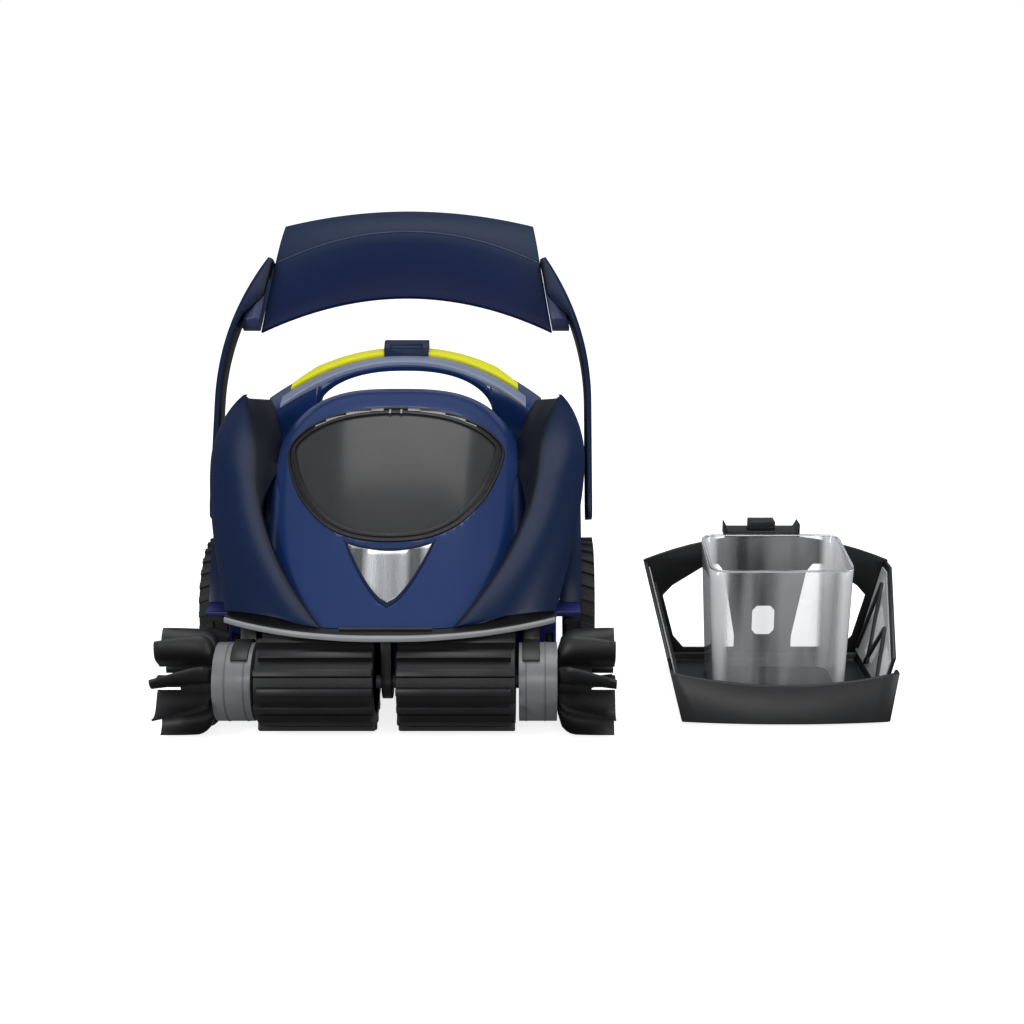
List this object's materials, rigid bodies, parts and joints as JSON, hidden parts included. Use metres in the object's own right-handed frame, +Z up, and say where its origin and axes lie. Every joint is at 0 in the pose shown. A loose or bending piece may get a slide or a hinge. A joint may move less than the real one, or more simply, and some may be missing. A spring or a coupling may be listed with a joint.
{
  "type": "pool cleaner",
  "caption": "Robotic pool cleaner with a domed cover, swept wings, lift hoop, driven wheels and brush rollers, and its filter canister standing beside it.",
  "frame": {"origin": "middle of the footprint of the cleaner and its canister, on the floor", "axes": "+Z up, the cleaner's front faces -Y, the canister stands on the +X side"},
  "size_m": [0.6704, 0.3826, 0.4303],
  "materials": {
    "navy_gloss": "moulded navy plastic, high gloss",
    "navy_wing": "darker navy plastic, satin gloss",
    "chassis_blue": "blue moulded plastic, satin",
    "black_plastic": "black moulded plastic",
    "black_rubber": "black flexible rubber",
    "tyre_rubber": "black tyre rubber",
    "grey_satin": "satin grey plastic",
    "light_grey": "light grey plastic",
    "grey_inlay": "blue-grey plastic",
    "yellow": "yellow soft-touch plastic",
    "smoke_pane": "smoked clear plastic",
    "badge_metal": "brushed bright metal",
    "clear_duct": "clear moulded plastic",
    "filter_mesh": "fine woven filter mesh",
    "steel": "machined stainless steel",
    "motor_grey": "dark grey plastic housing"
  },
  "bodies": {
    "chassis": {"chassis_pan": "chassis_blue", "bumper_plate": "black_plastic", "bumper_trim": "light_grey", "cover_hinge_pin": "steel", "rear_shell": "navy_gloss", "outlet_grille": "black_plastic", "left_side_panel": "navy_wing", "right_side_panel": "navy_wing", "handle_frame": "navy_gloss", "handle_grey_inlay": "grey_inlay", "handle_yellow_strip": "yellow", "canister_bay": "black_plastic", "pump_case": "motor_grey", "cable_gland": "black_rubber", "centre_bearing": "black_plastic", "left_drum": "grey_satin", "right_drum": "grey_satin", "left_drive_motor": "motor_grey", "right_drive_motor": "motor_grey", "left_drive_belt": "black_rubber", "right_drive_belt": "black_rubber", "left_hoop_pin": "steel", "right_hoop_pin": "steel"},
    "cover": {"dome_shell": "navy_gloss", "window_gasket": "black_rubber", "window_pane": "smoke_pane", "badge_plate": "badge_metal", "left_wing": "navy_wing", "right_wing": "navy_wing"},
    "latch": {"latch_button": "navy_wing"},
    "hoop": {"hoop_band": "navy_gloss", "left_hoop_arm": "navy_wing", "right_hoop_arm": "navy_wing", "left_hoop_clip": "grey_inlay", "right_hoop_clip": "grey_inlay"},
    "left_brush": {"left_brush_core": "motor_grey", "left_roller_sleeve": "black_rubber", "left_paddle": "black_rubber"},
    "right_brush": {"right_brush_core": "motor_grey", "right_roller_sleeve": "black_rubber", "right_paddle": "black_rubber"},
    "left_wheel": {"left_tyre": "tyre_rubber", "left_wheel_hub": "motor_grey", "left_wheel_axle": "steel"},
    "right_wheel": {"right_tyre": "tyre_rubber", "right_wheel_hub": "motor_grey", "right_wheel_axle": "steel"},
    "left_pinion": {"left_motor_pinion": "steel"},
    "right_pinion": {"right_motor_pinion": "steel"},
    "impeller": {"impeller": "light_grey"},
    "flap": {"inlet_flap": "black_rubber"},
    "canister": {"canister_tray": "black_plastic", "canister_back": "black_plastic", "left_canister_side": "black_plastic", "right_canister_side": "black_plastic", "left_filter_panel": "filter_mesh", "right_filter_panel": "filter_mesh", "canister_duct": "clear_duct", "canister_bracket": "black_plastic"},
    "canister_tab": {"canister_tab": "black_plastic"}
  },
  "joints": [
    {"name": "cover_hinge", "type": "hinge", "parent": "chassis", "child": "cover", "pos_m": [-0.13675, -0.1533, 0.0985], "axis": [1, 0, 0], "range_deg": [0, 70]},
    {"name": "latch_slide", "type": "slide", "parent": "chassis", "child": "latch", "axis": [0, 1, 0], "range_m": [0, 0.005], "stiffness_N_per_m": 150},
    {"name": "hoop_swing", "type": "hinge", "parent": "chassis", "child": "hoop", "pos_m": [-0.13675, 0.0276, 0.158], "axis": [1, 0, 0], "range_deg": [0, 60]},
    {"name": "left_wheel_spin", "type": "hinge", "parent": "chassis", "child": "left_wheel", "pos_m": [-0.30675, 0.0126, 0.0655], "axis": [1, 0, 0], "continuous": true},
    {"name": "left_brush_spin", "type": "hinge", "parent": "chassis", "child": "left_brush", "pos_m": [-0.19675, -0.1444, 0.047], "axis": [1, 0, 0], "continuous": true},
    {"name": "left_pinion_spin", "type": "hinge", "parent": "chassis", "child": "left_pinion", "pos_m": [-0.27275, 0.0446, 0.0655], "axis": [1, 0, 0], "continuous": true},
    {"name": "right_wheel_spin", "type": "hinge", "parent": "chassis", "child": "right_wheel", "pos_m": [0.03325, 0.0126, 0.0655], "axis": [1, 0, 0], "continuous": true},
    {"name": "right_brush_spin", "type": "hinge", "parent": "chassis", "child": "right_brush", "pos_m": [-0.07675, -0.1444, 0.047], "axis": [1, 0, 0], "continuous": true},
    {"name": "right_pinion_spin", "type": "hinge", "parent": "chassis", "child": "right_pinion", "pos_m": [-0.00075, 0.0446, 0.0655], "axis": [1, 0, 0], "continuous": true},
    {"name": "impeller_spin", "type": "hinge", "parent": "chassis", "child": "impeller", "pos_m": [-0.13675, 0.1156, 0.12], "axis": [0, 0, 1], "continuous": true},
    {"name": "flap_hinge", "type": "hinge", "parent": "chassis", "child": "flap", "pos_m": [-0.13675, -0.0384, 0.0371], "axis": [-1, 0, 0], "range_deg": [0, 60]},
    {"name": "canister_lift", "type": "slide", "parent": "chassis", "child": "canister", "axis": [0, 0, 1], "range_m": [0, 0.15]},
    {"name": "canister_tab_slide", "type": "slide", "parent": "canister", "child": "canister_tab", "axis": [0, 1, 0], "range_m": [0, 0.0028], "stiffness_N_per_m": 100}
  ],
  "couplings": [
    {"joint": "left_brush_spin", "follows": "left_wheel_spin", "ratio": 1.5},
    {"joint": "left_pinion_spin", "follows": "left_wheel_spin", "ratio": -3},
    {"joint": "right_brush_spin", "follows": "right_wheel_spin", "ratio": 1.5},
    {"joint": "right_pinion_spin", "follows": "right_wheel_spin", "ratio": -3}
  ]
}
